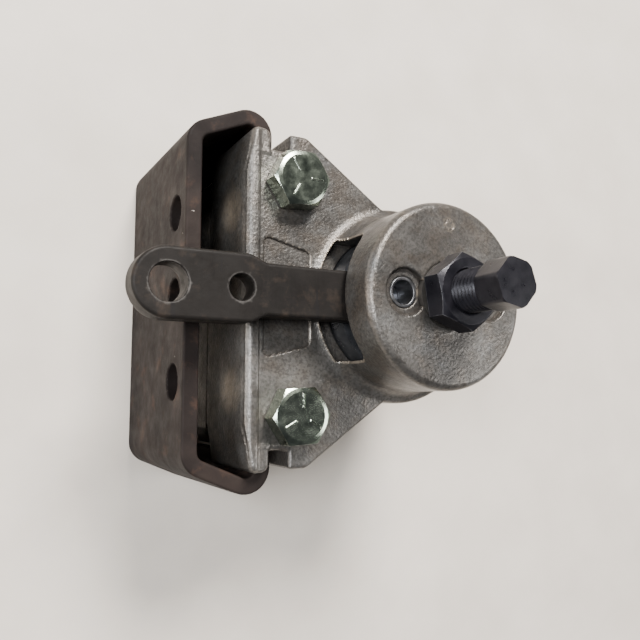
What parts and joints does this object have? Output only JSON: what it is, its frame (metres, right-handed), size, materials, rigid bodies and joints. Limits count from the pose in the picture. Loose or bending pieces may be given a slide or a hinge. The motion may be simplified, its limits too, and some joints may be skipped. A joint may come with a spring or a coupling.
{
  "type": "mechanical disc brake caliper",
  "caption": "Lever-operated ball-ramp disc-brake caliper with a cast drum housing, adjusting stud and jam nut, floating on a bent C-section mounting bracket.",
  "frame": {"origin": "centre of the middle mounting hole, on the outer face of the bracket's web", "axes": "+X from the bracket to the drum, +Y along the row of mounting holes, +Z along the drum's axis and out of its front face"},
  "size_m": [0.106, 0.1016, 0.1047],
  "materials": {
    "bracket_paint": "worn dark brown-black paint, satin",
    "cast_aluminium": "as-cast, satin",
    "lever_steel": "dark phosphate, matte",
    "black_oxide": "black oxide, satin",
    "zinc_plate": "clear zinc plating with a faint green tint, glossy",
    "spring_steel": "oiled, satin",
    "ground_steel": "ground and hardened, satin",
    "bearing_steel": "polished",
    "bush_iron": "oil-filled sintered iron, dark",
    "cage_brass": "stamped sheet, satin",
    "pad_steel": "black paint, matte",
    "friction": "moulded friction material, coarse"
  },
  "bodies": {
    "bracket": {"mounting_bracket": "bracket_paint"},
    "caliper": {"front_casting": "cast_aluminium", "rear_casting": "cast_aluminium", "hub_bush": "bush_iron", "ramp_plate": "ground_steel", "ramp_pins": "spring_steel", "return_spring": "spring_steel", "spring_seat": "spring_steel", "snap_ring": "spring_steel", "outer_pad_plate": "pad_steel", "outer_lining": "friction", "pad_screws": "black_oxide", "clamp_bolts": "zinc_plate", "lock_washers": "zinc_plate", "clamp_nuts": "zinc_plate"},
    "piston": {"piston": "ground_steel", "inner_pad_plate": "pad_steel", "inner_lining": "friction"},
    "lever": {"lever": "lever_steel", "lever_hub": "lever_steel"},
    "cage": {"ball_cage": "cage_brass", "ramp_balls": "bearing_steel"},
    "cap": {"thrust_cap": "ground_steel"},
    "stud": {"adjusting_stud": "black_oxide"},
    "nut": {"jam_nut": "black_oxide"}
  },
  "joints": [
    {"name": "caliper_float", "type": "slide", "parent": "bracket", "child": "caliper", "axis": [0, 0, 1], "range_m": [0, 0.006]},
    {"name": "piston_push", "type": "slide", "parent": "caliper", "child": "piston", "axis": [0, 0, -1], "range_m": [0, 0.00112], "deforming": ["return_spring"]},
    {"name": "lever_turn", "type": "hinge", "parent": "piston", "child": "lever", "pos_m": [0.0615, 0, 0], "axis": [0, 0, 1], "range_deg": [0, 20], "stiffness_Nm_per_rad": 0.6},
    {"name": "cage_turn", "type": "hinge", "parent": "caliper", "child": "cage", "pos_m": [0.0615, 0, 0], "axis": [0, 0, 1], "range_deg": [0, 10.5]},
    {"name": "adjuster_feed", "type": "slide", "parent": "lever", "child": "cap", "axis": [0, 0, 1], "range_m": [0, 0.00254]},
    {"name": "adjuster_turn", "type": "hinge", "parent": "cap", "child": "stud", "pos_m": [0.0615, 0, 0], "axis": [0, 0, 1], "range_deg": [0, 721]},
    {"name": "nut_turn", "type": "hinge", "parent": "stud", "child": "nut", "pos_m": [0.0615, 0, 0], "axis": [0, 0, 1], "range_deg": [0, 90]}
  ],
  "couplings": [
    {"joint": "lever_turn", "follows": "piston_push", "rad_per_m": 312.5},
    {"joint": "cage_turn", "follows": "piston_push", "rad_per_m": 156.25},
    {"joint": "adjuster_turn", "follows": "adjuster_feed", "rad_per_m": 4947.4}
  ]
}
